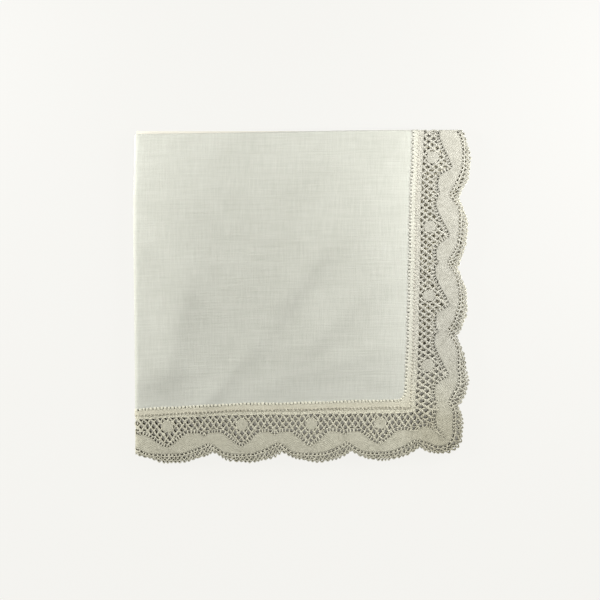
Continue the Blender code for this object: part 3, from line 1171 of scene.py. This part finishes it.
# The lamps, each with its place, size, power and colour, the floor and the camera
WHITE = (1.0, 1.0, 1.0)
WARM_WHITE = (1.0, 1.0, 0.99)
LAMPS = (
    ("left", (-0.42, 0.05, 0.20), 0.20, 2.25, WARM_WHITE),
    ("left_top", (-0.17, 0.12, 0.09), 0.10, 0.21, WHITE),
    ("right_top", (0.17, 0.13, 0.10), 0.10, 0.37, WHITE),
    ("right", (0.19, 0.04, 0.12), 0.10, 0.31, WHITE),
    ("right_low", (0.42, -0.05, 0.25), 0.20, 0.54, WARM_WHITE),
    ("low", (0.10, -0.32, 0.16), 0.20, 0.20, WHITE),
)
FLOOR_REACH = 3.0
FLOOR_HEIGHT = -0.0002
SHADE_HEIGHT = -0.0001
SHADE_IN = 0.0015  # how far the shaded part of the floor ends inside the lace's edge
SHADE_IN_BELOW = 0.0013
CAMERA_ASIDE = (-0.0005, -0.0017)  # from over the middle of the folded square
CAMERA_HEIGHT = 0.742


def stage_face(name, points, material):
    """A flat face of the stage with its corners at the points."""
    mesh = bpy.data.meshes.new(name)
    mesh.from_pydata(points, [], [tuple(range(len(points)))])
    mesh.materials.append(material)
    face = bpy.data.objects.new(name, mesh)
    bpy.context.scene.collection.objects.link(face)
    return face


def under_the_lace():
    """A painted shadow: a darker patch of floor under the folded handkerchief, with a faint glow of its own,
    painted light that lifts the holes of the lace.
    """
    s = seam_places(0.001)
    right = spread(s, outline_width(s, 0.0) - SHADE_IN)
    below = spread(s, outline_width(s, BOTTOM_SHIFT) - SHADE_IN_BELOW)[::-1]
    right = np.column_stack((SEAM_HALF + right[:, 0], -(SEAM_HALF + right[:, 1]), 0 * s))
    below = np.column_stack((SEAM_HALF + below[:, 1], -(SEAM_HALF + below[:, 0]), 0 * s))
    rim = lies(np.concatenate((right, below)))[:, :2]
    where_folds_meet = (rim[-1, 0], rim[0, 1])
    points = [(x, y, SHADE_HEIGHT) for x, y in (*rim, where_folds_meet)]
    # Painted shadow, darker than the floor, with a faint painted glow of its own
    shade = stage_material("floor_shade", (0.55, 0.53, 0.46), (1.0, 0.97, 0.86), 0.195)
    return stage_face("floor_shade", points, shade)


def lay_floor():
    """The pale floor."""
    corners = [(x * FLOOR_REACH, y * FLOOR_REACH, 0) for x, y in ((-1, -1), (1, -1), (1, 1), (-1, 1))]
    pale = stage_material("floor", (0.03, 0.03, 0.03), (0.93, 0.922, 0.888), 0.945)
    floor = stage_face("floor", corners, pale)
    floor.location = (0, 0, FLOOR_HEIGHT)
    return floor


def light_up():
    """Six soft lamps and a faint light from all sides."""
    scene = bpy.context.scene
    scene.view_settings.view_transform = "Standard"
    world = bpy.data.worlds.new("studio")
    world.use_nodes = True
    world.node_tree.nodes["Background"].inputs["Color"].default_value = (1.0, 1.0, 1.0, 1)
    world.node_tree.nodes["Background"].inputs["Strength"].default_value = 0.08
    scene.world = world
    for name, place, size, power, colour in LAMPS:
        lamp = bpy.data.lights.new(name, "AREA")
        lamp.size = size
        lamp.energy = power
        lamp.color = colour
        holder = bpy.data.objects.new(name, lamp)
        holder.location = place
        holder.rotation_mode = "QUATERNION"
        holder.rotation_quaternion = (-Vector(place)).to_track_quat("-Z", "Y")
        holder.visible_camera = False
        scene.collection.objects.link(holder)


def look_down():
    """The camera, straight above."""
    camera = bpy.data.cameras.new("camera")
    camera.lens = 100
    camera.sensor_width = 36
    camera.clip_start = 0.01
    camera.clip_end = 20
    eye = bpy.data.objects.new("camera", camera)
    centre = (cad_box[0] + cad_box[1]) / 2
    eye.location = (centre.x + CAMERA_ASIDE[0], centre.y + CAMERA_ASIDE[1], CAMERA_HEIGHT)
    bpy.context.scene.collection.objects.link(eye)
    bpy.context.scene.camera = eye


dress()
light_up()
lay_floor()
under_the_lace()
look_down()
